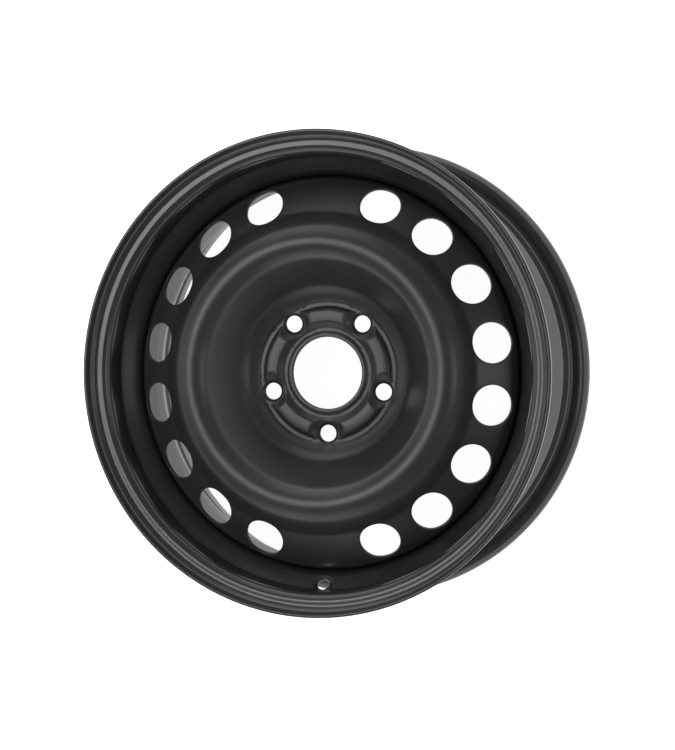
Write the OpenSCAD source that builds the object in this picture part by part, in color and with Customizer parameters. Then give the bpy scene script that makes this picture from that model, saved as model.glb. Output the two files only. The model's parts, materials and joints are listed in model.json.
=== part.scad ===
// Pressed-steel road wheel: a rolled rim, a pressed disc and the welds that join them.
// The wheel lies on its inboard flange: the axle axis is Z, the outboard face looks up,
// and the valve hole and one bolt hole lie on the -Y side.

/* [Rim] */
// Bead seat diameter, measured where the seat meets the flange
bead_seat_d = 405.6; // [398:0.1:440]
// Width between the two flanges
rim_width = 165.1; // [152:0.1:185]
// Height of the flanges above the bead seat
flange_height = 18; // [16.5:0.1:21]
// Width of one flange, from its tyre side to the end of its lip
flange_width = 14; // [13.2:0.1:18]
// Thickness of the rim sheet
rim_sheet = 2.7; // [2.4:0.1:3.2]
// Radius of the rolled lip, on the tyre side
lip_radius = 9.5; // [8:0.1:12]
// Radius of the root between flange and bead seat, on the tyre side
root_radius = 5; // [3.5:0.1:6]
// Taper of the bead seats in degrees
seat_taper = 5; // [4:0.1:6]
// Width of a bead seat, from the flange to the foot of its safety hump
seat_width = 20; // [17:0.1:23]
// Height of the safety humps above the bead seat
hump_height = 1.4; // [0.8:0.1:2]
// Width of the safety humps
hump_width = 4; // [3:0.1:5.5]
// Depth of the drop-centre well below the bead seat
well_depth = 17.8; // [15:0.1:20]
// Angle of the outboard wall of the well to the axle axis
well_wall_angle = 49; // [42:1:55]
// Distance of the inboard end of the well from the middle of the rim
well_reach = 8; // [0:0.5:14]
// Bend radius at the outboard end of the well
well_radius = 16; // [10:0.5:18]
// Bend radius at the inboard end of the well
ramp_radius = 18; // [8:0.5:24]

/* [Valve hole] */
// Diameter of the valve hole
valve_d = 11.3; // [8.3:0.1:11.5]
// Diameter of the flat that is coined round the valve hole
valve_flat_d = 16.5; // [15:0.1:18]
// Depth of the coined flat
valve_flat_depth = 0.2; // [0.1:0.05:0.4]
// Width of the chamfer at the edge of the valve hole
valve_chamfer = 0.9; // [0.4:0.1:1.2]
// Distance of the valve hole from the top of the well wall, along the wall
valve_drop = 8; // [7:0.1:10]

/* [Disc] */
// Thickness of the disc sheet
disc_sheet = 3.7; // [3.2:0.1:4.4]
// Offset of the mounting face from the middle of the rim
offset_et = 37; // [28:0.5:44]
// Width of the flange that is pressed into the well
disc_flange_width = 32; // [24:0.5:36]
// Clearance between that flange and the well
seat_gap = 0.1; // [0.05:0.01:0.2]
// Height of the crown above the hub face
crown_height = 45.2; // [38:0.1:50]
// Bend radius of the crown, on the outboard side
crown_radius = 22; // [16:0.5:24]
// Slope of the bowl wall in degrees
bowl_angle = 55.5; // [50:0.5:62]
// Radius between the bowl floor and the bowl wall
bowl_radius = 22; // [12:0.5:24]
// Width of the bowl floor round the hub, up to the bend line of the wall
bowl_floor = 14; // [12.5:0.1:17]
// Slope of the bowl floor in degrees
floor_angle = 12; // [4:0.5:15]
// Slope of the skirt on the outside of the crown
skirt_angle = 50; // [44:0.5:54]
// Length of the skirt, between its bend lines
skirt_length = 37.5; // [35:0.1:42]
// Bend radius where the skirt runs into the vent ring
skirt_radius = 20; // [6:0.5:22]
// Slope of the vent ring
vent_angle = 30; // [24:0.5:34]
// Bend radius between the vent ring and the pressed flange, on the outboard side
shoulder_radius = 15; // [8:0.5:17]

/* [Vents] */
// Diameter of the vent holes
vent_d = 37; // [26:0.1:39]
// Places on the vent ring, of which the top and the bottom one stay closed
vent_places = 18; // [10:4:18]

/* [Hub] */
// Diameter of the centre bore
bore_d = 66.6; // [57:0.1:68]
// Width of the raised lip round the bore
bore_lip = 3.3; // [1.8:0.1:3.6]
// Height of the raised lip round the bore
bore_lip_height = 1.3; // [0.8:0.1:2]
// Chamfer at the outboard edge of the bore
bore_chamfer = 0.8; // [0.3:0.1:1.2]
// Number of wheel bolts
bolt_count = 5; // [4:1:6]
// Pitch circle diameter of the wheel bolts
bolt_pcd = 112; // [110:0.5:122]
// Diameter of the bolt holes
bolt_hole_d = 15.5; // [13:0.1:17]
// Diameter of the ball seats of the wheel bolts, at the hub face
bolt_seat_d = 20.4; // [18.5:0.1:21.6]
// Radius of the ball seats
ball_radius = 14; // [12.5:0.5:16]
// Radius of the flat land round a bolt hole
land_radius = 11; // [10.6:0.1:12]
// Slope of the embossing where it is pressed back round a land
land_slope = 29; // [27:1:40]
// Width of the hub face outside the bolt circle
hub_margin = 10.4; // [9.6:0.1:14]
// Height of the bowl floor above the hub face
hub_step = 1.7; // [1.2:0.1:2]
// Height of the pads that are embossed between the bolt holes
pad_height = 3.4; // [2:0.1:4]
// Width of the top of a pad
pad_width = 10; // [7:0.1:11]
// Height by which the top of a pad is domed
pad_dome = 0.5; // [0.2:0.05:0.7]
// Bend radius along the middle of a pad
dome_radius = 40; // [20:1:45]
// Slope of the pads towards the bore
pad_slope = 27; // [24:1:40]
// Distance of the middle of the pads inside the bolt circle
pad_inset = 2.9; // [2:0.1:3.5]
// Slope of the embossing's sides
emboss_slope = 42; // [36:1:50]
// Bend radius of the embossing, in the middle of the sheet
emboss_radius = 3; // [2.6:0.1:3.5]

/* [Welds] */
// Number of weld beads between the disc and the rim
weld_count = 8; // [4:1:12]
// Angle that one weld bead spans
weld_span = 25; // [12:1:28]
// Leg of the weld beads
weld_leg = 4; // [3:0.1:5]

/* [Hidden] */
$fn = 128;
// Largest step along a bend in degrees
bend_step = 12;
black_paint = [0.09, 0.09, 0.095];
// Reach of a cutting tool past the face that it leaves
past = 6;

// Rim, in the middle of its sheet
rim_middle = rim_width / 2 + flange_width;
lip_r = bead_seat_d / 2 + flange_height - rim_sheet / 2;
wall_z = rim_width / 2 + rim_sheet / 2;
seat_r = bead_seat_d / 2 - rim_sheet / 2;
root_r = seat_r + tan(seat_taper) * rim_sheet / 2;
hump_foot_z = rim_width / 2 - seat_width;
hump_foot_r = seat_r - tan(seat_taper) * seat_width;
hump_top_z = hump_foot_z - hump_width;
hump_top_r = hump_foot_r + hump_height;
well_r = seat_r - well_depth;
well_front_z = hump_top_z - (hump_top_r - well_r) / tan(well_wall_angle);
well_inner_r = well_r - rim_sheet / 2;
hump_radius = hump_width;

// Disc, in the middle of its sheet, with the hub face at height 0
hub_z = -disc_sheet / 2;
hub_r = bolt_pcd / 2 + hub_margin;
floor_z = hub_z + hub_step;
step_r = hub_r + hub_step / tan(emboss_slope);
bowl_r = step_r + bowl_floor;
bowl_z = floor_z + bowl_floor * tan(floor_angle);
crown_bend = crown_radius - disc_sheet / 2;
crown_lift = crown_bend * (cos((bowl_angle - skirt_angle) / 2) / cos((bowl_angle + skirt_angle) / 2) - 1);
crown_z = hub_z + crown_height + crown_lift;
crown_r = bowl_r + (crown_z - bowl_z) / tan(bowl_angle);
skirt_r = crown_r + skirt_length * cos(skirt_angle);
skirt_z = crown_z - skirt_length * sin(skirt_angle);
flange_r = well_inner_r - seat_gap - disc_sheet / 2;
shoulder_z = skirt_z - (flange_r - skirt_r) * tan(vent_angle);
flange_end_z = shoulder_z - disc_flange_width;
hub_height = rim_middle + offset_et + disc_sheet;

// Holes
vent_r = (skirt_r + flange_r) / 2;
vent_z = (skirt_z + shoulder_z) / 2;
vent_pitch = 360 / vent_places;
first_bolt = -90;
// Place of the outboard safety hump's top in the rim's path
hump_top_corner = 4;
valve_r = hump_top_r - valve_drop * sin(well_wall_angle);
valve_z = hump_top_z - valve_drop * cos(well_wall_angle);
seat_centre = sqrt(ball_radius ^ 2 - (bolt_seat_d / 2) ^ 2);
// Thickness of the sheet, measured square to the axis across a slope of a land
land_wall = disc_sheet / sin(land_slope);

// Bends: a path is a list of [radius, height, bend radius] in the middle of a sheet
function run(path, i) = [path[i + 1][0] - path[i][0], path[i + 1][1] - path[i][1]];
function run_length(path, i) = norm(run(path, i));
function heading(path, i) = atan2(run(path, i)[1], run(path, i)[0]);
function half_turn(a) = a > 180 ? a - 360 : a < -180 ? a + 360 : a;
function bend(path, i) = half_turn(heading(path, i) - heading(path, i - 1));
function tangent(path, i) =
    i <= 0 || i >= len(path) - 1 ? 0 : path[i][2] * tan(abs(bend(path, i)) / 2);
function room(path, i) = run_length(path, i) / (tangent(path, i) + tangent(path, i + 1));
// A bend radius is limited by the straight runs beside it
function bend_radius(path, i) = path[i][2] * min(1, 0.98 * room(path, i - 1), 0.98 * room(path, i));
// Unit vector to the left of a heading
function left_of(angle) = [-sin(angle), cos(angle)];
// Centre of a bend: its corner, moved square to the way in and back by the tangent length
function bend_centre(path, i) =
    let (
        way = heading(path, i - 1),
        radius = bend_radius(path, i),
        back = radius * tan(abs(bend(path, i)) / 2)
    )
    [path[i][0], path[i][1]] - back * [cos(way), sin(way)] + sign(bend(path, i)) * radius * left_of(way);
// One face of a bend, at a distance to the left of the middle of the sheet
function bend_face(path, i, left) =
    let (
        turn = bend(path, i),
        steps = ceil(abs(turn) / bend_step),
        radius = bend_radius(path, i) - sign(turn) * left
    )
    [
        for (k = [0 : steps])
            bend_centre(path, i) - sign(turn) * radius * left_of(heading(path, i - 1) + turn * k / steps)
    ];
// One face of the whole sheet
function sheet_face(path, left) =
    let (last = len(path) - 1)
    [
        [path[0][0], path[0][1]] + left * left_of(heading(path, 0)),
        for (i = [1 : last - 1]) each bend_face(path, i, left),
        [path[last][0], path[last][1]] + left * left_of(heading(path, last - 1)),
    ];
function reversed(points) = [for (i = [len(points) - 1 : -1 : 0]) points[i]];

// A sheet bent along a path and turned about the axle axis
module turned_sheet(path, sheet) {
    rotate_extrude()
        polygon(concat(sheet_face(path, sheet / 2), reversed(sheet_face(path, -sheet / 2))));
}

// The rim's path runs from the outboard lip over both bead seats to the inboard lip
function rim_path() =
    let (half_sheet = rim_sheet / 2)
    [
        [lip_r, rim_middle, 0],
        [lip_r, wall_z, lip_radius - half_sheet],
        [root_r, wall_z, root_radius + half_sheet],
        [hump_foot_r, hump_foot_z, hump_radius],
        [hump_top_r, hump_top_z, hump_radius],
        [well_r, well_front_z, well_radius],
        [well_r, -well_reach, ramp_radius],
        [hump_top_r, -hump_top_z, hump_radius],
        [hump_foot_r, -hump_foot_z, hump_radius],
        [root_r, -wall_z, root_radius + half_sheet],
        [lip_r, -wall_z, lip_radius - half_sheet],
        [lip_r, -rim_middle, 0],
    ];

// The disc's path runs from the bore over the embossed hub, the bowl and the crown to the flange
function disc_path() =
    let (
        lip_end = bore_d / 2 + bore_lip,
        pad_r = bolt_pcd / 2 - pad_inset,
        pad_half = pad_width / 2,
        pad_edge = pad_height - pad_dome
    )
    [
        [bore_d / 2, hub_z + bore_lip_height, 0],
        [lip_end, hub_z + bore_lip_height, emboss_radius],
        [lip_end + bore_lip_height / tan(emboss_slope), hub_z, emboss_radius],
        [pad_r - pad_half - pad_edge / tan(pad_slope), hub_z, emboss_radius],
        [pad_r - pad_half, hub_z + pad_edge, emboss_radius],
        [pad_r, hub_z + pad_height, dome_radius],
        [pad_r + pad_half, hub_z + pad_edge, emboss_radius],
        [pad_r + pad_half + pad_edge / tan(emboss_slope), hub_z, emboss_radius],
        [hub_r, hub_z, emboss_radius],
        [step_r, floor_z, emboss_radius],
        [bowl_r, bowl_z, bowl_radius + disc_sheet / 2],
        [crown_r, crown_z, crown_bend],
        [skirt_r, skirt_z, skirt_radius],
        [flange_r, shoulder_z, shoulder_radius - disc_sheet / 2],
        [flange_r, flange_end_z, 0],
    ];

// Puts children at each bolt hole
module at_bolts() {
    for (i = [0 : bolt_count - 1])
        rotate(first_bolt + i * 360 / bolt_count)
            translate([bolt_pcd / 2, 0, 0])
                children();
}

// Puts children at each open place of the vent ring, with Z square to the sheet
module at_vents() {
    for (i = [0 : vent_places - 1]) {
        angle = (i + 0.5) * vent_pitch;
        if (abs(sin(angle)) < 1 - sin(vent_pitch / 4) ^ 2)
            rotate(angle)
                translate([vent_r, 0, vent_z])
                    rotate([0, vent_angle, 0])
                        children();
    }
}

// The coined flat, which ends where the well wall bends up to the safety hump
module valve_flat() {
    top = valve_drop - tangent(rim_path(), hump_top_corner);
    intersection() {
        cylinder(h = past, d = valve_flat_d);
        translate([top - valve_flat_d, -valve_flat_d / 2, 0]) cube([valve_flat_d, valve_flat_d, past]);
    }
}

// The valve hole, with its coined flat and chamfer on the outboard side
module valve_cut() {
    rotate(first_bolt)
        translate([valve_r, 0, valve_z])
            rotate([0, -90 + well_wall_angle, 0]) {
                face = rim_sheet / 2 - valve_flat_depth;
                cylinder(h = 2 * past, d = valve_d, center = true);
                translate([0, 0, face]) valve_flat();
                translate([0, 0, face - valve_chamfer])
                    cylinder(h = 2 * valve_chamfer, d1 = valve_d, d2 = valve_d + 4 * valve_chamfer);
            }
}

// The room over a bolt hole's land, where the embossing is pressed back flat
module land_room() {
    height = pad_height + hub_step;
    cylinder(h = height, r1 = land_radius, r2 = land_radius + height / tan(land_slope));
}

// The sheet under a bolt hole's land
module land_foot() {
    foot_r = land_radius + land_wall;
    translate([0, 0, -disc_sheet])
        cylinder(h = disc_sheet, r1 = foot_r - disc_sheet / tan(land_slope), r2 = foot_r);
}

// A bolt hole with its ball seat
module bolt_cut() {
    translate([0, 0, -disc_sheet - past]) cylinder(h = disc_sheet + 2 * past, d = bolt_hole_d);
    translate([0, 0, seat_centre]) sphere(ball_radius);
}

// Rolled rim with two flanges, bead seats with safety humps, and the drop-centre well
module rim() {
    color(black_paint)
        translate([0, 0, rim_middle])
            difference() {
                turned_sheet(rim_path(), rim_sheet);
                valve_cut();
            }
}

// Pressed disc with its hub, bowl, crown, vent ring and the flange that sits in the well
module disc() {
    color(black_paint)
        translate([0, 0, hub_height])
            difference() {
                union() {
                    turned_sheet(disc_path(), disc_sheet);
                    at_bolts() land_foot();
                }
                at_bolts() land_room();
                at_bolts() bolt_cut();
                at_vents() cylinder(h = 4 * past, d = vent_d, center = true);
                translate([0, 0, bore_lip_height - bore_chamfer])
                    cylinder(h = 2 * bore_chamfer, d1 = bore_d, d2 = bore_d + 4 * bore_chamfer);
            }
}

// One weld bead: a quarter round in the corner of the well and the flange's end
module weld_bead() {
    rotate_extrude(angle = weld_span)
        translate([well_inner_r, 0])
            intersection() {
                circle(weld_leg);
                translate([-weld_leg, -weld_leg]) square(weld_leg);
            }
}

// Weld beads on the inboard end of the disc flange
module weld_beads() {
    color(black_paint)
        translate([0, 0, hub_height])
            for (i = [0 : weld_count - 1])
                rotate((i + 0.5) * 360 / weld_count - weld_span / 2)
                    translate([0, 0, flange_end_z])
                        weld_bead();
}

rim();
disc();
weld_beads();
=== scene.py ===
"""Black pressed-steel road wheel that lies on its inboard flange, with its outboard face up.

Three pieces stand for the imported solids: the rolled rim and the pressed disc, each a bent sheet
turned about the axle axis, and the weld beads between them. Lengths are in millimetres until
put_mesh() turns them into metres, and those of the stage are in metres. Angles are in degrees until a
formula needs them. Heights are those of the frame, in which the wheel lies on the plane of height 0.
"""
import json

import bmesh
import bpy
import numpy as np
from mathutils import Matrix, Vector


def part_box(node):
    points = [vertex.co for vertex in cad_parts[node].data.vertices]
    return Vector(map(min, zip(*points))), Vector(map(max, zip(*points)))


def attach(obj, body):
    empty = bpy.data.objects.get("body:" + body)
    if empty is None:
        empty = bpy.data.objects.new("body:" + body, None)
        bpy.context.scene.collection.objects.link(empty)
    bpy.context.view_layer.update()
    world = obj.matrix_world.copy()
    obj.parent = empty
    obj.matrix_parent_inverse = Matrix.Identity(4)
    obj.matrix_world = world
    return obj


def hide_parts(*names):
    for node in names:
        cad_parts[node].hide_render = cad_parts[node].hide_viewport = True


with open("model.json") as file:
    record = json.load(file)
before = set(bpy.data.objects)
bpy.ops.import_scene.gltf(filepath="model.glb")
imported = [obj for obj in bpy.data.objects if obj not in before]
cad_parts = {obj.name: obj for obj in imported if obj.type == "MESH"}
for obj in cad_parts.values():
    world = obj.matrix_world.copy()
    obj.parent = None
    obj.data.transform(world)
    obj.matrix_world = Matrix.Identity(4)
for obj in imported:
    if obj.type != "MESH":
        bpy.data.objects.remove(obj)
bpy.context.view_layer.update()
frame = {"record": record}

# Frame
MM = 0.001
mounts = {mount["name"]: mount for mount in frame["record"]["mounts"]}
rim_low, rim_high = (np.array(corner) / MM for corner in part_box("rim"))
disc_low, disc_high = (np.array(corner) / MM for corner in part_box("disc"))

# Turn of the first column, the valve hole and the first bolt hole
FIRST = -90

# Rim sheet
RIM_SHEET = 2.7
FLANGE_WIDTH = 14
FLANGE_HEIGHT = 18
LIP_RADIUS = 11
ROOT_RADIUS = 6
SEAT_TAPER = 5
SEAT_WIDTH = 20
HUMP_HEIGHT = 1.4
HUMP_WIDTH = 4
HUMP_RADIUS = 4
WELL_DEPTH = 17.8
WELL_WALL_ANGLE = 49
WELL_REACH = 8
WELL_RADIUS = 16
RAMP_RADIUS = 18
RIM_EDGE = 0.9

# Run of the rim's middle line, counted from 0, that is the outboard wall of the well
WALL_RUN = 4

# Valve hole and the coined flat round it, which is drawn in on the side of the hump
VALVE_R = mounts["valve_hole"]["dims"]["r_mm"]
VALVE_CHAMFER = 0.9
VALVE_WALL = 0.3
VALVE_ROLL = 0.3
VALVE_FLAT_R = 8.25
VALVE_FLAT_DEPTH = 0.2
FLAT_OUTSIDE = 0.2
FLAT_INSIDE = 0.05
FLAT_DRAW_START = 0.3
FLAT_DRAW_SPAN = 0.6
FLAT_DRAW_REST = 0.4

# Disc sheet
DISC_SHEET = 3.7
SEAT_GAP = 0.1
FLOOR_ANGLE = 12
BOWL_ANGLE = 52.5
BOWL_RADIUS = 21
CROWN_R = 120.72
CROWN_RADIUS = 22
SKIRT_ANGLE = 45
SKIRT_RADIUS = 15
SHOULDER_RADIUS = 15
DISC_EDGE = 0.8
BACK_ROLL = 0.4

# Vents, of which the top and the bottom one are closed
VENT_R = 18.5
VENT_PLACES = 18
CLOSED_VENTS = 0, VENT_PLACES // 2
VENT_ANGLE = 30
VENT_CIRCLE_R = 161.79
VENT_HEIGHT = 154.23
VENT_ROLL = 0.8

# Bolt holes, each with a ball seat that has soft edges
BOLT_COUNT = mounts["wheel_bolts"]["dims"]["count"]
BOLT_R = mounts["wheel_bolts"]["dims"]["pcd_mm"] / 2
BOLT_HOLE_R = mounts["wheel_bolts"]["dims"]["hole_r_mm"]
BOLT_SEAT_R = 10.2
BALL_RADIUS = 14
SEAT_ROLL = 0.35
SEAT_SOFT = 0.1
SEAT_SOFT_DEPTH = 0.03
HOLE_SOFT = 0.15
HOLE_SOFT_DEPTH = 0.3
HOLE_END = 0.8

# Embossed hub
HUB_FACE = mounts["mounting_face"]["pos_m"][2] / MM + DISC_SHEET
BORE_R = mounts["hub_bore"]["dims"]["r_mm"]
BORE_LIP = 3.3
BORE_LIP_HEIGHT = 1.3
HUB_REACH = 2 * BOLT_R - BORE_R
HUB_MARGIN = 10.4
HUB_STEP = 1.7
PAD_HEIGHT = 3.4
PAD_WIDTH = 10
PAD_DOME = 0.5
DOME_RADIUS = 40
PAD_SLOPE = 27
PAD_INSET = 2.9
EMBOSS_SLOPE = 42
EMBOSS_RADIUS = 3
LAND_RADIUS = 11
LAND_SLOPE = 29
LAND_BEND = 0.5
LAND_BLEND = 0.7

# Welds
WELD_COUNT = 8
WELD_SPAN = 25
WELD_LEG = 4
WELD_TAPER = 6
WELD_RIPPLE = 0.22
WELD_RIPPLE_PITCH = 2.4
WELD_RIPPLE_BOW = 1.2
WELD_RIPPLE_TAPER = 8

# Fineness of the meshes
COLUMNS = 270
ARC_STEP = 7
RUN_STEP = 4.5
BEND_ROOM = 0.98
EDGE_STEPS = 4
ROLL_ANGLES = 0, 30, 60, 90
SEAT_STEPS = 6
WELD_STEPS = 90
WELD_CORNER_STEPS = 10
MERGE = 0.0005
RISE_REACH = 9
HALVINGS = 30

# Windows in the grids of the sheets, which the patches of the holes fill: how far a window reaches
# inwards and outwards, half its columns, the rows from its edge to the first ring, and the rings
BOLT_WINDOW = 18.2, 18.4
BOLT_HALF_COLUMNS = 14
BOLT_PATCH_ROWS = 5
BOLT_RINGS = 17.7, 16.9, 16.2, 15.4, 14.2, 12.8, 11.8, 11.2
BOLT_BACK_RINGS = 17.7, 16.9, 16.2, 15.2, 13.6, 12.4, 11.4
VENT_WINDOW = 22, 17.3
VENT_HALF_COLUMNS = 6
VENT_PATCH_ROWS = 4
VALVE_HUMP_ROWS = 6
VALVE_WELL_ROWS = 5
VALVE_HALF_COLUMNS = 4
VALVE_PATCH_ROWS = 4
NEARBY_ROWS = 2

# Paint: tones, and the scale and detail of its clouds, change of gloss and orange peel
PAINT_TONE = 0.02
WELD_TONE = 0.019
PALE_TONE = 0.026
PAINT_IOR = 1.5
CLOUDS = 22, 4
CLOUD_STOPS = 0.35, 0.7
GLOSS = 60, 3
PEEL = 700, 2
PEEL_DEPTH = 0.0002

# Floor
FLOOR_HALF = 6
FLOOR_TONE = 0.8
FLOOR_GLOW = 0.94

# Surroundings: elevation of a direction, and brightness there
STUDIO_STOPS = (0, 2.2), (11, 2.2), (19, 0.28), (90, 0.22)

# Lamps: name, direction from the wheel, distance, size and power in watts
LAMPS = (
    ("key_box", (-0.32, 0.07, 0.95), 2.2, 0.65, 9),
    ("left_box", (-0.76, 0.02, 0.66), 2.4, 0.9, 3),
    ("right_box", (0.68, -0.02, 0.73), 2.4, 0.9, 4.5),
    ("top_box", (-0.28, 0.80, 0.53), 2.4, 1.7, 12),
    ("bottom_box", (-0.26, -0.82, 0.51), 2.4, 1.6, 9),
)

# Camera
CAMERA_TURN = 16.92
CAMERA_TILT = 0.98
CAMERA_DISTANCE = 2.0237
CAMERA_LENS = 104.9
CAMERA_SHIFT = 0.0132, -0.0029
CAMERA_REACH = 50


# Sheets


def tan(angle):
    """Tangent of an angle in degrees."""
    return np.tan(np.radians(angle))


def left_of(heading):
    """Unit vectors to the left of headings in radians."""
    return np.stack([-np.sin(heading), np.cos(heading)], axis=-1)


def bent_line(corners, edge):
    """Middle line of a bent sheet, as points, headings and the first row of each run.

    A corner (radius, height, bend radius) where the line turns by an angle a becomes an arc of its
    bend radius r, which starts r tan(a/2) before the corner and ends as far behind it. Where the runs
    beside it are too short for that, r is cut to fit. The runs between the arcs are straight. Both
    ends of the line are drawn back by the edge radius, which the rounded edges then take up.
    """
    corners = np.array(corners, float)
    runs = np.diff(corners[:, :2], axis=0)
    lengths = np.hypot(runs[:, 0], runs[:, 1])
    headings = np.arctan2(runs[:, 1], runs[:, 0])
    turns = (np.diff(headings) + np.pi) % (2 * np.pi) - np.pi
    wanted = np.concatenate([[0], corners[1:-1, 2] * np.tan(np.abs(turns) / 2), [0]])
    room = BEND_ROOM * lengths / (wanted[:-1] + wanted[1:])
    fit = np.minimum(1, np.minimum(room[:-1], room[1:]))
    reach = np.concatenate([[edge], wanted[1:-1] * fit, [edge]])
    ahead = runs / lengths[:, None]
    starts = corners[:-1, :2] + reach[:-1, None] * ahead
    ends = corners[1:, :2] - reach[1:, None] * ahead
    points, angles, first_rows = [starts[:1]], [headings[:1]], []
    for i, heading in enumerate(headings):
        first_rows.append(sum(map(len, points)) - 1)
        steps = int(np.ceil(np.hypot(*(ends[i] - starts[i])) / RUN_STEP))
        share = np.arange(1, steps + 1)[:, None] / steps
        points.append(starts[i] + share * (ends[i] - starts[i]))
        angles.append(np.full(steps, heading))
        if i == len(turns):
            break
        steps = int(np.ceil(np.degrees(abs(turns[i])) / ARC_STEP))
        sweep = heading + turns[i] * np.arange(1, steps + 1) / steps
        side = np.sign(turns[i]) * corners[i + 1, 2] * fit[i]
        centre = ends[i] + side * left_of(heading)
        points.append(centre - side * left_of(sweep))
        angles.append(sweep)
    return np.concatenate(points), np.concatenate(angles), first_rows


def sheet_section(line, headings, sheet, edge):
    """Closed section of a bent sheet: its left face, far edge, right face in reverse, and near edge.

    A face lies half a sheet to the left or right of the middle line. Each edge is two quarter circles
    of the edge radius with a flat between them: a point of the first lies its centre plus the radius
    times (cosine to the side plus sine ahead) of an angle that grows from 0 to 90 degrees. Returns
    the section and the two faces.
    """
    side = left_of(headings)
    faces = [line + side * sheet / 2, line - side * sheet / 2]
    angle = np.radians(np.linspace(0, 90, EDGE_STEPS + 1)[1:, None])

    def rounded(end, ahead):
        """Left and right quarter circles of an edge, from the faces outwards."""
        corner = (sheet / 2 - edge) * side[end]
        out = edge * np.sin(angle) * ahead
        across = edge * np.cos(angle) * side[end]
        return line[end] + corner + across + out, line[end] - corner - across + out

    far_left, far_right = rounded(-1, -left_of(headings[-1] + np.pi / 2))
    near_left, near_right = rounded(0, left_of(headings[0] + np.pi / 2))
    loop = [faces[0], far_left, far_right[::-1], faces[1][::-1], near_right, near_left[::-1]]
    return np.concatenate(loop), faces


def turned(profile, angles):
    """Points of a profile (radius, height) turned about the axle axis by angles in radians."""
    radius, height = profile[..., 0], profile[..., 1]
    return np.stack([radius * np.cos(angles), radius * np.sin(angles), height + 0 * angles], axis=-1)


# Meshes


class Skin:
    """Points and four-cornered faces of one piece."""

    def __init__(self):
        self.points = []
        self.faces = []
        self.count = 0

    def add(self, grid):
        """Takes a grid of points and returns the grid of their numbers."""
        numbers = self.count + np.arange(grid[..., 0].size).reshape(grid.shape[:-1])
        self.points.append(grid.reshape(-1, 3))
        self.count += numbers.size
        return numbers

    def weave(self, numbers, dropped=None):
        """Joins each row of a grid of numbers to the next, and the last column to the first."""
        after = np.roll(numbers, -1, axis=1)
        quads = np.stack([numbers[:-1], after[:-1], after[1:], numbers[1:]], axis=-1)
        self.faces.append(quads.reshape(-1, 4) if dropped is None else quads[~dropped])


def put_mesh(name, skin):
    """Makes the piece's object at the origin, in metres, with doubles merged and normals outwards."""
    mesh = bpy.data.meshes.new(name)
    used, corners = np.unique(np.concatenate(skin.faces), return_inverse=True)
    points = np.concatenate(skin.points)[used] * MM
    mesh.from_pydata(points.tolist(), [], corners.reshape(-1, 4).tolist())
    work = bmesh.new()
    work.from_mesh(mesh)
    bmesh.ops.remove_doubles(work, verts=work.verts, dist=MERGE * MM)
    bmesh.ops.recalc_face_normals(work, faces=work.faces)
    work.to_mesh(mesh)
    work.free()
    mesh.polygons.foreach_set("use_smooth", np.ones(len(mesh.polygons), bool))
    mesh.update()
    piece = bpy.data.objects.new(name, mesh)
    bpy.context.scene.collection.objects.link(piece)
    return piece


def turned_skin(skin, loop, face_rows, forms=None, windows=()):
    """Turns a closed section into a ring and leaves out the windows of both faces.

    Returns the number grids of the left and the right face, in the order of the middle line. forms are
    two functions that press the points of the left and of the right face.
    """
    angles = np.radians(FIRST + np.arange(COLUMNS) * 360 / COLUMNS)
    points = turned(loop[:, None, :], angles[None, :])
    left = np.arange(face_rows)
    right = len(loop) - 2 * EDGE_STEPS - 1 - np.arange(face_rows)
    if forms is not None:
        points[left] = forms[0](points[left])
        points[right] = forms[1](points[right])
    numbers = skin.add(points)
    dropped = np.zeros((len(loop), COLUMNS), bool)
    for rows, columns in windows:
        j = np.arange(*columns) % COLUMNS
        dropped[np.ix_(left[rows[0]:rows[1]], j)] = True
        dropped[np.ix_(right[rows[0] + 1:rows[1] + 1], j)] = True
    skin.weave(np.concatenate([numbers, numbers[:1]]), dropped)
    return numbers[left], numbers[right]


# Holes


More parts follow.
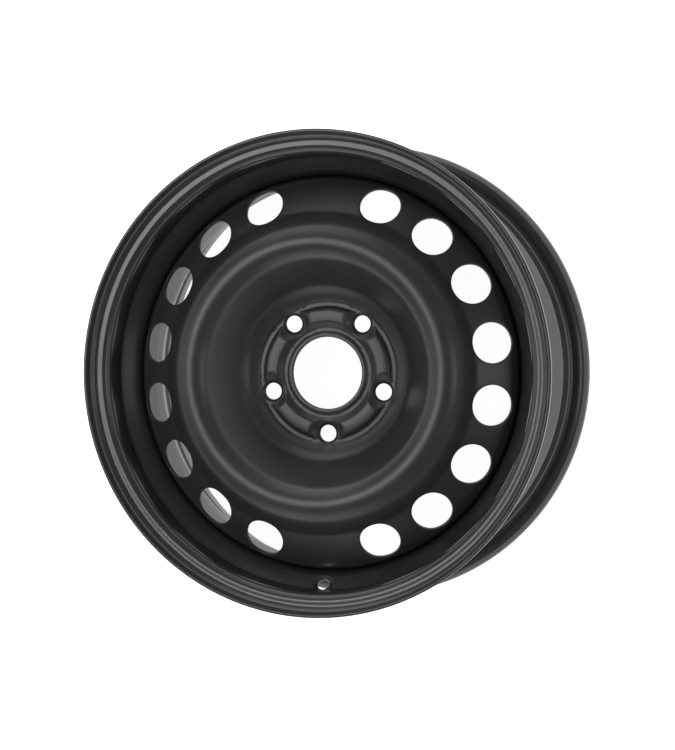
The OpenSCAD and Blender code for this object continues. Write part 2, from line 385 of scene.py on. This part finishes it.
class Hole:
    """A round hole through both faces of a turned sheet, which takes the place of a window in its grid.

    Local directions are those of the sheet at the hole: across, round the axle axis; along, in the
    section, outwards; and up, square to both. On a face the coordinate along the section and the turn
    give a point, because the face is the profile at that coordinate, turned.
    """

    def __init__(self, turn, centre, slope, radius):
        self.turn = np.radians(turn)
        self.centre = np.array(centre, float)
        self.radius = radius
        self.along = np.array([np.cos(np.radians(slope)), np.sin(np.radians(slope))])
        self.up = np.array([-self.along[1], self.along[0]])

    def profile_of(self, points):
        """Coordinates along and up of points in space, by their radius round the axle axis."""
        flat = np.stack([np.hypot(points[..., 0], points[..., 1]), points[..., 2]], axis=-1) - self.centre
        return flat @ self.along, flat @ self.up

    def local(self, points):
        """Coordinates across, along and up of points in space, straight and not round the axle axis."""
        cos, sin = np.cos(self.turn), np.sin(self.turn)
        across = points[..., 1] * cos - points[..., 0] * sin
        radius = points[..., 0] * cos + points[..., 1] * sin
        flat = np.stack([radius, points[..., 2]], axis=-1) - self.centre
        return across, flat @ self.along, flat @ self.up

    def in_space(self, across, along, up):
        """Points in space from the straight local coordinates, which need not lie on a face."""
        radius = self.centre[0] + along * self.along[0] + up * self.up[0]
        height = self.centre[1] + along * self.along[1] + up * self.up[1]
        cos, sin = np.cos(self.turn), np.sin(self.turn)
        return np.stack([radius * cos - across * sin, radius * sin + across * cos, height], axis=-1)

    def circle(self, angles, radius, up):
        """Points on a circle round the hole's axis, at a height over the hole's centre."""
        return self.in_space(radius * np.cos(angles), radius * np.sin(angles), up)

    def rise(self, angles, radius, face):
        """Heights at which lines along the hole's axis, on a circle, meet a face, found by halving."""
        along, up = (face - self.centre) @ self.along, (face - self.centre) @ self.up
        order = np.argsort(along)
        high = np.full(angles.shape, float(RISE_REACH))
        low = -high
        for _ in range(HALVINGS):
            middle = (low + high) / 2
            at, over = self.profile_of(self.circle(angles, radius, middle))
            below = over < np.interp(at, along[order], up[order])
            low, high = np.where(below, middle, low), np.where(below, high, middle)
        return (low + high) / 2

    def patch(self, face, edge_along, edge_turn, angles, circles, shares, form):
        """Rows of points from the edge of the window to the first circle, and on over the others.

        A row lies a share of the way from the window's edge to the first circle, in the coordinates
        along and turn. form() then presses the points, as the sheet is pressed there. A circle is a
        radius, or a function that gives the radius at each angle.
        """
        rows = []
        for circle in circles:
            radius = circle(angles) if callable(circle) else circle
            ring = self.circle(angles, radius, self.rise(angles, radius, face))
            turn = np.arctan2(ring[:, 1], ring[:, 0]) - edge_turn
            rows.append((self.profile_of(ring)[0], edge_turn + (turn + np.pi) % (2 * np.pi) - np.pi))
        gap_along, gap_turn = rows[0][0] - edge_along, rows[0][1] - edge_turn
        between = [(edge_along + share * gap_along, edge_turn + share * gap_turn) for share in shares]
        along, turn = (np.stack(part) for part in zip(*(between + rows)))
        face_along = (face - self.centre) @ self.along
        order = np.argsort(face_along)
        radius, height = (np.interp(along, face_along[order], face[order, k]) for k in (0, 1))
        return form(turned(np.stack([radius, height], axis=-1), turn))

    def lip(self, angles, points, profile, side):
        """Rings of a hole's edge: each lies (more than the radius, depth under the face) of a profile."""
        face_up = self.local(points)[2]
        return np.stack([self.circle(angles, self.radius + more, face_up - side * depth)
                         for more, depth in profile])


def cut_hole(skin, numbers, faces, window, hole, front, back):
    """Fills a window of both faces with patches and joins them by the wall of a round hole.

    The faces and the grids of their numbers come with the upper face first. The window is its (first,
    last) row and its (first, last) column. front and back are the (circles, shares, lip profile, form)
    of each side. All rows run round the hole, one point for each point on the window's edge.
    """
    rows, columns = window
    i, j = np.arange(*rows), np.arange(*columns)
    loop_i = np.concatenate([np.full(len(j), rows[0]), i, np.full(len(j), rows[1]), i[::-1] + 1])
    loop_j = np.concatenate([j, np.full(len(i), columns[1]), j[::-1] + 1, np.full(len(i), columns[0])])
    edge_turn = np.radians(FIRST + loop_j * 360 / COLUMNS)
    nearby = slice(rows[0] - NEARBY_ROWS, rows[1] + 1 + NEARBY_ROWS)
    middle = (faces[0] + faces[1])[loop_i] / 2 - hole.centre
    angles = np.arctan2(middle @ hole.along, hole.centre[0] * (edge_turn - hole.turn))
    sides = []
    for face, grid, (circles, shares, profile, form), side in (
        (faces[0], numbers[0], front, 1),
        (faces[1], numbers[1], back, -1),
    ):
        edge_along = (face[loop_i] - hole.centre) @ hole.along
        points = hole.patch(face[nearby], edge_along, edge_turn, angles, circles, shares, form)
        lip = hole.lip(angles, points[-1], profile, side)
        sides.append((grid[loop_i, loop_j % COLUMNS][None], np.concatenate([points, lip])))
    inner = skin.add(np.concatenate([sides[0][1], sides[1][1][::-1]]))
    skin.weave(np.concatenate([sides[0][0], inner, sides[1][0]]))


def rolled(radius):
    """Profile of a rolled edge: a quarter circle from the face to the wall."""
    turn = np.radians(ROLL_ANGLES)
    return list(zip(radius * (1 - np.sin(turn)), radius * (1 - np.cos(turn))))


def shares_between(count):
    """Even shares of a way, without both of its ends."""
    return np.linspace(0, 1, count + 2)[1:-1]


def as_is(points):
    """Leaves points as they are."""
    return points


# Rim


def rim_corners():
    """Corners of the rim's middle line, from the outboard lip over both bead seats to the inboard lip."""
    half = RIM_SHEET / 2
    middle = (rim_low[2] + rim_high[2]) / 2
    width = (rim_high[2] - rim_low[2]) / 2 - FLANGE_WIDTH
    lip_r = rim_high[0] - half
    seat_r = lip_r - FLANGE_HEIGHT
    root_r = seat_r + tan(SEAT_TAPER) * half
    foot_r = seat_r - tan(SEAT_TAPER) * SEAT_WIDTH
    top_r = foot_r + HUMP_HEIGHT
    foot_z = width - SEAT_WIDTH
    top_z = foot_z - HUMP_WIDTH
    well_r = seat_r - WELL_DEPTH
    well_z = top_z - (top_r - well_r) / tan(WELL_WALL_ANGLE)
    outboard = [
        (lip_r, width + FLANGE_WIDTH, 0),
        (lip_r, width + half, LIP_RADIUS - half),
        (root_r, width + half, ROOT_RADIUS + half),
        (foot_r, foot_z, HUMP_RADIUS),
        (top_r, top_z, HUMP_RADIUS),
    ]
    well = [(well_r, well_z, WELL_RADIUS), (well_r, -WELL_REACH, RAMP_RADIUS)]
    inboard = [(r, -z, bend) for r, z, bend in outboard[::-1]]
    return [(r, middle + z, bend) for r, z, bend in outboard + well + inboard]


def make_rim():
    """Rolled rim: the bent rim sheet, turned, with the valve hole in the outboard wall of its well."""
    line, headings, first_rows = bent_line(rim_corners(), RIM_EDGE)
    loop, faces = sheet_section(line, headings, RIM_SHEET, RIM_EDGE)
    x, y, z = (value / MM for value in mounts["valve_hole"]["pos_m"])
    hole = Hole(FIRST, (np.hypot(x, y), z), 90 - WELL_WALL_ANGLE, VALVE_R)
    rows = (first_rows[WALL_RUN] - VALVE_HUMP_ROWS, first_rows[WALL_RUN + 1] - VALVE_WELL_ROWS)
    window = (rows, (-VALVE_HALF_COLUMNS, VALVE_HALF_COLUMNS))
    skin = Skin()
    numbers = turned_skin(skin, loop, len(line), windows=[window])
    edge_r = VALVE_R + VALVE_CHAMFER

    def flat_edge(more):
        """Outline of the coined flat: round, but drawn in to the hole's edge on the side of the hump."""
        def radius(angles):
            near = np.clip((np.sin(angles) - FLAT_DRAW_START) / FLAT_DRAW_SPAN, 0, 1)
            drawn = VALVE_FLAT_R - edge_r - FLAT_DRAW_REST
            return VALVE_FLAT_R + more - drawn * near * near * (3 - 2 * near)
        return radius

    def coined(points):
        """Presses the points inside the flat's outline down to a plane."""
        across, along, up = hole.local(points)
        inside = np.hypot(across, along) < flat_edge(0)(np.arctan2(along, across))
        level = np.where(inside, np.minimum(up, RIM_SHEET / 2 - VALVE_FLAT_DEPTH), up)
        return hole.in_space(across, along, level)

    shares = shares_between(VALVE_PATCH_ROWS)
    circles = [flat_edge(FLAT_OUTSIDE), flat_edge(-FLAT_INSIDE), edge_r]
    chamfer = [(0, VALVE_CHAMFER), (0, VALVE_CHAMFER + VALVE_WALL)]
    axle_side = (circles, shares, chamfer, coined)
    tyre_side = ([VALVE_R + VALVE_ROLL], shares, rolled(VALVE_ROLL), as_is)
    cut_hole(skin, numbers[::-1], faces[::-1], window, hole, axle_side, tyre_side)
    return put_mesh("rolled_rim", skin)


# Disc


def disc_corners():
    """Corners of the disc's middle line, from the bore over the hub, bowl and crown to the flange.

    The crown's corner is where bowl and skirt would meet, if its bend has its top at the crown's radius
    and the disc's full height. The bowl's and the skirt's corners are where their lines meet the floor
    of the hub and the line through the vents.
    """
    hub_z = HUB_FACE - DISC_SHEET / 2
    lip_end = BORE_R + BORE_LIP
    pad_r = BOLT_R - PAD_INSET
    pad_edge = PAD_HEIGHT - PAD_DOME
    hub_r = BOLT_R + HUB_MARGIN
    step_r = hub_r + HUB_STEP / tan(EMBOSS_SLOPE)
    floor_z = hub_z + HUB_STEP
    bend = CROWN_RADIUS - DISC_SHEET / 2
    half_sum = np.radians((BOWL_ANGLE + SKIRT_ANGLE) / 2)
    half_gap = np.radians((BOWL_ANGLE - SKIRT_ANGLE) / 2)
    crown_r = CROWN_R - bend * np.sin(half_gap) / np.cos(half_sum)
    crown_z = disc_high[2] - DISC_SHEET / 2 + bend * (np.cos(half_gap) / np.cos(half_sum) - 1)
    fall = crown_z - floor_z - tan(FLOOR_ANGLE) * (crown_r - step_r)
    bowl_r = crown_r - fall / (tan(BOWL_ANGLE) - tan(FLOOR_ANGLE))
    bowl_z = crown_z - tan(BOWL_ANGLE) * (crown_r - bowl_r)
    fall = crown_z - VENT_HEIGHT - tan(VENT_ANGLE) * (VENT_CIRCLE_R - crown_r)
    skirt_r = crown_r + fall / (tan(SKIRT_ANGLE) - tan(VENT_ANGLE))
    skirt_z = crown_z - tan(SKIRT_ANGLE) * (skirt_r - crown_r)
    flange_r = disc_high[0] - DISC_SHEET / 2
    shoulder_z = VENT_HEIGHT - (flange_r - VENT_CIRCLE_R) * tan(VENT_ANGLE)
    return [
        (BORE_R, hub_z + BORE_LIP_HEIGHT, 0),
        (lip_end, hub_z + BORE_LIP_HEIGHT, EMBOSS_RADIUS),
        (lip_end + BORE_LIP_HEIGHT / tan(EMBOSS_SLOPE), hub_z, EMBOSS_RADIUS),
        (pad_r - PAD_WIDTH / 2 - pad_edge / tan(PAD_SLOPE), hub_z, EMBOSS_RADIUS),
        (pad_r - PAD_WIDTH / 2, hub_z + pad_edge, EMBOSS_RADIUS),
        (pad_r, hub_z + PAD_HEIGHT, DOME_RADIUS),
        (pad_r + PAD_WIDTH / 2, hub_z + pad_edge, EMBOSS_RADIUS),
        (pad_r + PAD_WIDTH / 2 + pad_edge / tan(EMBOSS_SLOPE), hub_z, EMBOSS_RADIUS),
        (hub_r, hub_z, EMBOSS_RADIUS),
        (step_r, floor_z, EMBOSS_RADIUS),
        (bowl_r, bowl_z, BOWL_RADIUS + DISC_SHEET / 2),
        (crown_r, crown_z, bend),
        (skirt_r, skirt_z, SKIRT_RADIUS),
        (flange_r, shoulder_z, SHOULDER_RADIUS - DISC_SHEET / 2),
        (flange_r, disc_low[2], 0),
    ]


def pressed(level, land_radius):
    """Form of the hub: the sheet is pressed back to a level on a land round each bolt hole.

    Over the level, the sheet's own height is a, and the land's height b is 0 up to the land's radius
    and rises at the land's slope outside it, with a soft bend. The sheet takes the lesser of the two.
    Where they are nearer to each other than the blend k, it lies (k - |a - b|)^2 / 4k lower.
    """
    turns = np.radians(FIRST + np.arange(BOLT_COUNT) * 360 / BOLT_COUNT)
    bolts = BOLT_R * np.stack([np.cos(turns), np.sin(turns)], axis=-1)

    def form(points):
        """Presses the points within the hub's reach."""
        points = points.copy()
        hub = np.hypot(points[..., 0], points[..., 1]) < HUB_REACH
        flat = points[hub]
        away = np.hypot(flat[:, None, 0] - bolts[:, 0], flat[:, None, 1] - bolts[:, 1]).min(axis=1)
        away -= land_radius
        land = tan(LAND_SLOPE) * (away + np.hypot(away, LAND_BEND)) / 2
        own = flat[:, 2] - level
        near = np.maximum(LAND_BLEND - np.abs(own - land), 0)
        low = np.minimum(own, land) - near ** 2 / (4 * LAND_BLEND)
        flat[:, 2] = level + np.maximum(low, np.minimum(own, 0))
        points[hub] = flat
        return points

    return form


def ball_seat():
    """Profile of a bolt hole's edge: a short roll, then the ball seat down to the hole, then its wall.

    At a radius r, a ball seat of radius b lies (b^2 - r^2)^(1/2) - (b^2 - s^2)^(1/2) under the face,
    where s is the radius of the seat's edge.
    """
    centre = np.sqrt(BALL_RADIUS ** 2 - BOLT_SEAT_R ** 2)
    radius = np.linspace(BOLT_SEAT_R - SEAT_SOFT, BOLT_HOLE_R + HOLE_SOFT, SEAT_STEPS)
    depth = np.sqrt(BALL_RADIUS ** 2 - radius ** 2) - centre
    roll = [
        (BOLT_SEAT_R + SEAT_ROLL - BOLT_HOLE_R, 0),
        (BOLT_SEAT_R + SEAT_SOFT - BOLT_HOLE_R, SEAT_SOFT_DEPTH),
    ]
    wall = [(0, depth[-1] + HOLE_SOFT_DEPTH), (0, DISC_SHEET - HOLE_END)]
    return roll + list(zip(radius - BOLT_HOLE_R, depth)) + wall


def make_disc():
    """Pressed disc: the bent disc sheet, turned, with its hub pressed back at the bolts and its holes.

    The land on the back is wider, as the sheet keeps its thickness at the slope round the land.
    """
    line, headings, _ = bent_line(disc_corners(), DISC_EDGE)
    loop, faces = sheet_section(line, headings, DISC_SHEET, DISC_EDGE)
    foot = LAND_RADIUS + DISC_SHEET * (1 / np.sin(np.radians(LAND_SLOPE)) - 1 / tan(LAND_SLOPE))
    forms = pressed(HUB_FACE, LAND_RADIUS), pressed(HUB_FACE - DISC_SHEET, foot)
    windows, holes = [], []

    def pierce(place, places, reach, half_columns, centre, slope, radius, front, back):
        """Adds a hole and its window at one of the even places round the axle axis."""
        rows = tuple(np.searchsorted(line[:, 0], (centre[0] - reach[0], centre[0] + reach[1])))
        middle = place * COLUMNS // places
        windows.append((rows, (middle - half_columns, middle + half_columns)))
        holes.append((Hole(FIRST + place * 360 / places, centre, slope, radius), front, back))

    shares = shares_between(BOLT_PATCH_ROWS)
    front = ([*BOLT_RINGS, BOLT_SEAT_R + SEAT_ROLL], shares, ball_seat(), forms[0])
    back = ([*BOLT_BACK_RINGS, BOLT_HOLE_R + BACK_ROLL], shares, rolled(BACK_ROLL), forms[1])
    for place in range(BOLT_COUNT):
        pierce(place, BOLT_COUNT, BOLT_WINDOW, BOLT_HALF_COLUMNS,
               (BOLT_R, HUB_FACE), 0, BOLT_HOLE_R, front, back)

    shares = shares_between(VENT_PATCH_ROWS)
    front = ([VENT_R + VENT_ROLL], shares, rolled(VENT_ROLL), as_is)
    back = ([VENT_R + BACK_ROLL], shares, rolled(BACK_ROLL), as_is)
    for place in range(VENT_PLACES):
        if place not in CLOSED_VENTS:
            pierce(place, VENT_PLACES, VENT_WINDOW, VENT_HALF_COLUMNS,
                   (VENT_CIRCLE_R, VENT_HEIGHT), -VENT_ANGLE, VENT_R, front, back)

    skin = Skin()
    numbers = turned_skin(skin, loop, len(line), forms, windows)
    for window, (hole, front, back) in zip(windows, holes):
        cut_hole(skin, numbers, faces, window, hole, front, back)
    return put_mesh("pressed_disc", skin)


# Weld beads


def make_welds():
    """Weld beads: quarter rounds in the corner of the flange's end and the well, rippled and tapered.

    At a share s along the bead, from -1 to 1, the leg is the full leg times (1 - s^6)^(1/2). Ripples
    are bowed waves along the bead, which raise the round face and fade by 1 - s^8.
    """
    s = np.linspace(-1, 1, WELD_STEPS)[:, None]
    arc = np.radians(np.linspace(180, 270, WELD_CORNER_STEPS))[None, :]
    well_r = disc_high[0] + SEAT_GAP
    run = s * np.radians(WELD_SPAN / 2) * well_r
    swell = np.sin(2 * (arc - np.pi))
    wave = np.cos(2 * np.pi * (run + WELD_RIPPLE_BOW * swell) / WELD_RIPPLE_PITCH)
    ripple = WELD_RIPPLE * wave * swell * (1 - s ** WELD_RIPPLE_TAPER)
    taper = np.sqrt(np.maximum(1 - s ** WELD_TAPER, 0))
    leg = np.maximum((WELD_LEG - WELD_RIPPLE) * taper + ripple, 0)
    radius = np.concatenate([well_r + leg * np.cos(arc), np.full((WELD_STEPS, 1), well_r)], axis=1)
    height = np.concatenate([leg * np.sin(arc), np.zeros((WELD_STEPS, 1))], axis=1) + disc_low[2]
    skin = Skin()
    for k in range(WELD_COUNT):
        turn = np.radians((k + 0.5) * 360 / WELD_COUNT + s * WELD_SPAN / 2)
        grid = turned(np.stack([radius, height], axis=-1), turn + 0 * radius)
        skin.weave(skin.add(grid))
    return put_mesh("rippled_welds", skin)


# Paint


def link(tree, source, target):
    """Joins two sockets of a node tree."""
    tree.links.new(source, target)


def satin_black(name, tone, roughness, peel):
    """Satin black paint: near-black with faint cloudy change of tone and gloss, over orange peel."""
    material = bpy.data.materials.new(name)
    material.use_nodes = True
    tree = material.node_tree
    shader = tree.nodes["Principled BSDF"]
    shader.inputs["Metallic"].default_value = 0
    shader.inputs["IOR"].default_value = PAINT_IOR
    place = tree.nodes.new("ShaderNodeTexCoord")

    def noise(scale, detail):
        """Noise on the piece's own coordinates."""
        node = tree.nodes.new("ShaderNodeTexNoise")
        node.inputs["Scale"].default_value = scale
        node.inputs["Detail"].default_value = detail
        link(tree, place.outputs["Object"], node.inputs["Vector"])
        return node.outputs["Fac"]

    shade = tree.nodes.new("ShaderNodeValToRGB")
    for element, position, value in zip(shade.color_ramp.elements, CLOUD_STOPS, (tone, PALE_TONE)):
        element.position = position
        element.color = (value, value, value, 1)
    link(tree, noise(*CLOUDS), shade.inputs["Fac"])
    link(tree, shade.outputs["Color"], shader.inputs["Base Color"])

    gloss = tree.nodes.new("ShaderNodeMapRange")
    gloss.inputs["To Min"].default_value = roughness[0]
    gloss.inputs["To Max"].default_value = roughness[1]
    link(tree, noise(*GLOSS), gloss.inputs["Value"])
    link(tree, gloss.outputs["Result"], shader.inputs["Roughness"])

    bump = tree.nodes.new("ShaderNodeBump")
    bump.inputs["Strength"].default_value = peel
    bump.inputs["Distance"].default_value = PEEL_DEPTH
    link(tree, noise(*PEEL), bump.inputs["Height"])
    link(tree, bump.outputs["Normal"], shader.inputs["Normal"])
    return material


# Stage


def make_floor():
    """Pale floor, white to the camera and in reflections, that still takes the wheel's shadow."""
    half = FLOOR_HALF
    mesh = bpy.data.meshes.new("floor")
    corners = [(-half, -half, 0), (half, -half, 0), (half, half, 0), (-half, half, 0)]
    mesh.from_pydata(corners, [], [(0, 1, 2, 3)])
    floor = bpy.data.objects.new("floor", mesh)
    bpy.context.scene.collection.objects.link(floor)
    material = bpy.data.materials.new("pale_floor")
    material.use_nodes = True
    tree = material.node_tree
    tree.nodes.clear()
    output = tree.nodes.new("ShaderNodeOutputMaterial")
    matt = tree.nodes.new("ShaderNodeBsdfDiffuse")
    matt.inputs["Color"].default_value = (FLOOR_TONE, FLOOR_TONE, FLOOR_TONE, 1)
    glow = tree.nodes.new("ShaderNodeEmission")
    glow.inputs["Color"].default_value = (1, 1, 1, 1)
    path = tree.nodes.new("ShaderNodeLightPath")
    seen = path.outputs["Is Camera Ray"]
    for kind in ("Is Glossy Ray", "Is Transmission Ray"):
        either = tree.nodes.new("ShaderNodeMath")
        either.operation = "MAXIMUM"
        link(tree, seen, either.inputs[0])
        link(tree, path.outputs[kind], either.inputs[1])
        seen = either.outputs[0]
    share = tree.nodes.new("ShaderNodeMath")
    share.operation = "MULTIPLY"
    share.inputs[1].default_value = FLOOR_GLOW
    link(tree, seen, share.inputs[0])
    link(tree, share.outputs[0], glow.inputs["Strength"])
    both = tree.nodes.new("ShaderNodeAddShader")
    link(tree, matt.outputs[0], both.inputs[0])
    link(tree, glow.outputs[0], both.inputs[1])
    link(tree, both.outputs[0], output.inputs["Surface"])
    mesh.materials.append(material)


def make_lamp(name, direction, distance, size, power):
    """Square soft box that looks at the wheel from a direction."""
    data = bpy.data.lights.new(name, "AREA")
    data.shape = "SQUARE"
    data.size = size
    data.energy = power
    lamp = bpy.data.objects.new(name, data)
    way = Vector(direction).normalized()
    facing = way.to_track_quat("Z", "Y").to_matrix().to_4x4()
    lamp.matrix_world = Matrix.Translation(way * distance) @ facing
    bpy.context.scene.collection.objects.link(lamp)


def make_world():
    """Surroundings of a studio: white walls that darken to the ceiling, by the height of the direction."""
    world = bpy.data.worlds.new("studio")
    world.use_nodes = True
    tree = world.node_tree
    place = tree.nodes.new("ShaderNodeTexCoord")
    axes = tree.nodes.new("ShaderNodeSeparateXYZ")
    shade = tree.nodes.new("ShaderNodeValToRGB")
    shade.color_ramp.interpolation = "EASE"
    elements = shade.color_ramp.elements
    middle = 0.5
    while len(elements) < len(STUDIO_STOPS):
        elements.new(middle)
    for element, (elevation, value) in zip(elements, STUDIO_STOPS):
        element.position = np.sin(np.radians(elevation))
        element.color = (value, value, value, 1)
    link(tree, place.outputs["Generated"], axes.inputs[0])
    link(tree, axes.outputs["Z"], shade.inputs["Fac"])
    link(tree, shade.outputs["Color"], tree.nodes["Background"].inputs["Color"])
    bpy.context.scene.world = world


def make_camera():
    """Camera at the photograph's angle: a turn and a tilt away from the axle axis, with +Y up."""
    turn, tilt = np.radians(CAMERA_TURN), np.radians(CAMERA_TILT)
    back = Vector((np.sin(turn) * np.cos(tilt), np.sin(tilt), np.cos(turn) * np.cos(tilt)))
    right = Vector((np.cos(turn), 0, -np.sin(turn)))
    up = back.cross(right)
    place = Vector((0, 0, HUB_FACE * MM)) + CAMERA_DISTANCE * back
    data = bpy.data.cameras.new("camera")
    data.lens = CAMERA_LENS
    data.shift_x, data.shift_y = CAMERA_SHIFT
    data.clip_end = CAMERA_REACH
    camera = bpy.data.objects.new("camera", data)
    axes = Matrix((right, up, back)).transposed().to_4x4()
    camera.matrix_world = Matrix.Translation(place) @ axes
    bpy.context.scene.collection.objects.link(camera)
    bpy.context.scene.camera = camera


# Piece, node, slot, name of the paint, its tone, least and most roughness, and strength of its peel
finishes = (
    (make_rim(), "rim", "rim_paint", "rim_satin_black", PAINT_TONE, (0.22, 0.26), 0.05),
    (make_disc(), "disc", "disc_paint", "disc_satin_black", PAINT_TONE, (0.32, 0.36), 0.06),
    (make_welds(), "weld_beads", "weld_paint", "weld_satin_black", WELD_TONE, (0.24, 0.34), 0.3),
)
for piece, node, slot, paint, tone, roughness, peel in finishes:
    piece.data.materials.append(satin_black(paint, tone, roughness, peel))
    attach(piece, "root")
    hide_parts(node)

make_floor()
make_world()
for lamp in LAMPS:
    make_lamp(*lamp)
make_camera()
bpy.context.scene.view_settings.view_transform = "Standard"
